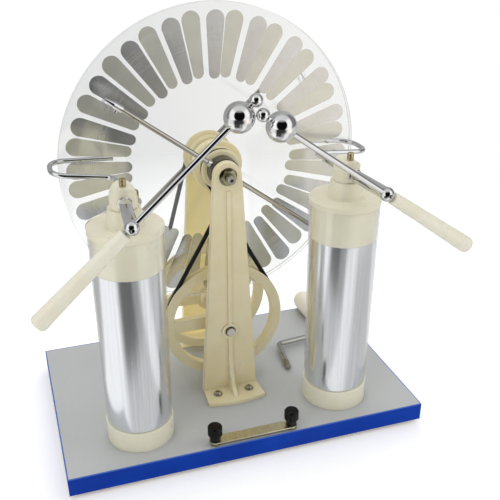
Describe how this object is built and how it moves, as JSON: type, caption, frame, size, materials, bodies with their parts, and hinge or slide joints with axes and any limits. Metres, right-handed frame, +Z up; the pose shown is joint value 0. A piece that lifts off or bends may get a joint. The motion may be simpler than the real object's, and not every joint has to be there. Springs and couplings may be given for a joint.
{
  "type": "electrostatic influence machine",
  "caption": "Hand-cranked electrostatic generator with counter-rotating foil-sector discs, foil-lined jars, neutralising rods and swinging ball discharge arms on a flat base.",
  "frame": {"origin": "on the floor under the centre of the whole machine's overall length and depth, which is 7 mm right of and 16 mm in front of the centre of the rectangular base", "axes": "+Z up, +X to the right and +Y to the back as seen by someone facing the discharge arms; the disc axle runs along Y"},
  "size_m": [0.3967, 0.2682, 0.411],
  "materials": {
    "board": "matt edge, hidden under the laminate",
    "grey_laminate": "fine matt grey",
    "blue_band": "satin blue edging",
    "black_rubber": "dull black",
    "cream_plastic": "semi-gloss cream moulding",
    "clear_acrylic": "polished clear",
    "foil": "brushed foil",
    "chrome": "bright plated",
    "ground_steel": "ground bar, dull",
    "plated_steel": "zinc plated",
    "brass": "satin brass",
    "black_plastic": "glossy black moulding"
  },
  "bodies": {
    "base": {"base_board": "board", "base_top_sheet": "grey_laminate", "base_edge_band": "blue_band", "rubber_feet": "black_rubber", "front_standard": "cream_plastic", "rear_standard": "cream_plastic", "standard_screws": "plated_steel", "disc_axle": "ground_steel", "axle_nuts": "plated_steel", "axle_washers": "plated_steel", "disc_spacer": "cream_plastic", "front_belt": "black_rubber", "rear_belt": "black_rubber", "jar_collars": "cream_plastic", "jar_covers": "clear_acrylic", "outer_foils": "foil", "jar_tumblers": "clear_acrylic", "inner_foils": "foil", "jar_caps": "cream_plastic", "contact_rods": "brass", "jar_heads": "cream_plastic", "head_screws": "brass", "fork_stems": "chrome", "collector_forks": "chrome", "collector_points": "chrome", "link_posts": "brass", "link_nuts": "brass"},
    "drive": {"drive_shaft": "ground_steel", "front_drive_pulley": "cream_plastic", "rear_drive_pulley": "cream_plastic", "pulley_screws": "plated_steel"},
    "front_disc_unit": {"front_disc": "clear_acrylic", "front_sectors": "foil", "front_hub": "cream_plastic"},
    "rear_disc_unit": {"rear_disc": "clear_acrylic", "rear_sectors": "foil", "rear_hub": "cream_plastic"},
    "front_neutraliser": {"front_neutraliser_ring": "ground_steel", "front_neutraliser_rods": "chrome", "front_neutraliser_clamps": "chrome", "front_neutraliser_brushes": "foil"},
    "rear_neutraliser": {"rear_neutraliser_ring": "ground_steel", "rear_neutraliser_rods": "chrome", "rear_neutraliser_clamps": "chrome", "rear_neutraliser_brushes": "foil"},
    "left_arm": {"left_pivot_rod": "chrome", "left_discharge_rod": "chrome", "left_big_ball": "chrome", "left_small_ball": "chrome", "left_handle": "cream_plastic"},
    "right_arm": {"right_pivot_rod": "chrome", "right_discharge_rod": "chrome", "right_big_ball": "chrome", "right_small_ball": "chrome", "right_handle": "cream_plastic"},
    "link": {"link_strip": "brass"},
    "left_knob": {"left_knob": "black_plastic"},
    "right_knob": {"right_knob": "black_plastic"},
    "crank": {"crank_rod": "chrome"},
    "crank_grip": {"crank_grip": "cream_plastic"}
  },
  "joints": [
    {"name": "drive_spin", "type": "hinge", "parent": "base", "child": "drive", "pos_m": [-0.00552, 0.01552, 0.0962], "axis": [0, 1, 0], "continuous": true},
    {"name": "front_disc_spin", "type": "hinge", "parent": "base", "child": "front_disc_unit", "pos_m": [-0.00552, 0.01552, 0.262], "axis": [0, 1, 0], "continuous": true},
    {"name": "rear_disc_spin", "type": "hinge", "parent": "base", "child": "rear_disc_unit", "pos_m": [-0.00552, 0.01552, 0.262], "axis": [0, 1, 0], "continuous": true},
    {"name": "front_neutraliser_swing", "type": "hinge", "parent": "base", "child": "front_neutraliser", "pos_m": [-0.00552, 0.00622, 0.262], "axis": [0, 1, 0], "range_deg": [-15, 15]},
    {"name": "rear_neutraliser_swing", "type": "hinge", "parent": "base", "child": "rear_neutraliser", "pos_m": [-0.00552, 0.07812, 0.262], "axis": [0, 1, 0], "range_deg": [-15, 15]},
    {"name": "left_arm_swing", "type": "hinge", "parent": "base", "child": "left_arm", "pos_m": [-0.10992, -0.04798, 0.269], "axis": [-0.075, -0.9972, 0], "range_deg": [0, 46]},
    {"name": "right_arm_swing", "type": "hinge", "parent": "base", "child": "right_arm", "pos_m": [0.09568, -0.04798, 0.269], "axis": [-0.0958, 0.9954, 0], "range_deg": [0, 54]},
    {"name": "link_swing", "type": "hinge", "parent": "base", "child": "link", "pos_m": [-0.04612, -0.08888, 0.0278], "axis": [0, 0, 1], "range_deg": [-90, 0]},
    {"name": "left_knob_turn", "type": "hinge", "parent": "base", "child": "left_knob", "pos_m": [-0.04612, -0.08888, 0.036], "axis": [0, 0, 1], "range_deg": [0, 360]},
    {"name": "right_knob_turn", "type": "hinge", "parent": "base", "child": "right_knob", "pos_m": [0.03188, -0.08888, 0.036], "axis": [0, 0, 1], "range_deg": [0, 360]},
    {"name": "crank_lift", "type": "slide", "parent": "base", "child": "crank", "axis": [0, 0, 1], "range_m": [0, 0.05]},
    {"name": "grip_spin", "type": "hinge", "parent": "crank", "child": "crank_grip", "pos_m": [0.13238, 0.05302, 0.03082], "axis": [0, 0.9974, 0.0723], "continuous": true}
  ],
  "couplings": [
    {"joint": "front_disc_spin", "follows": "drive_spin", "ratio": -3.5906},
    {"joint": "rear_disc_spin", "follows": "drive_spin", "ratio": 3.5906}
  ]
}
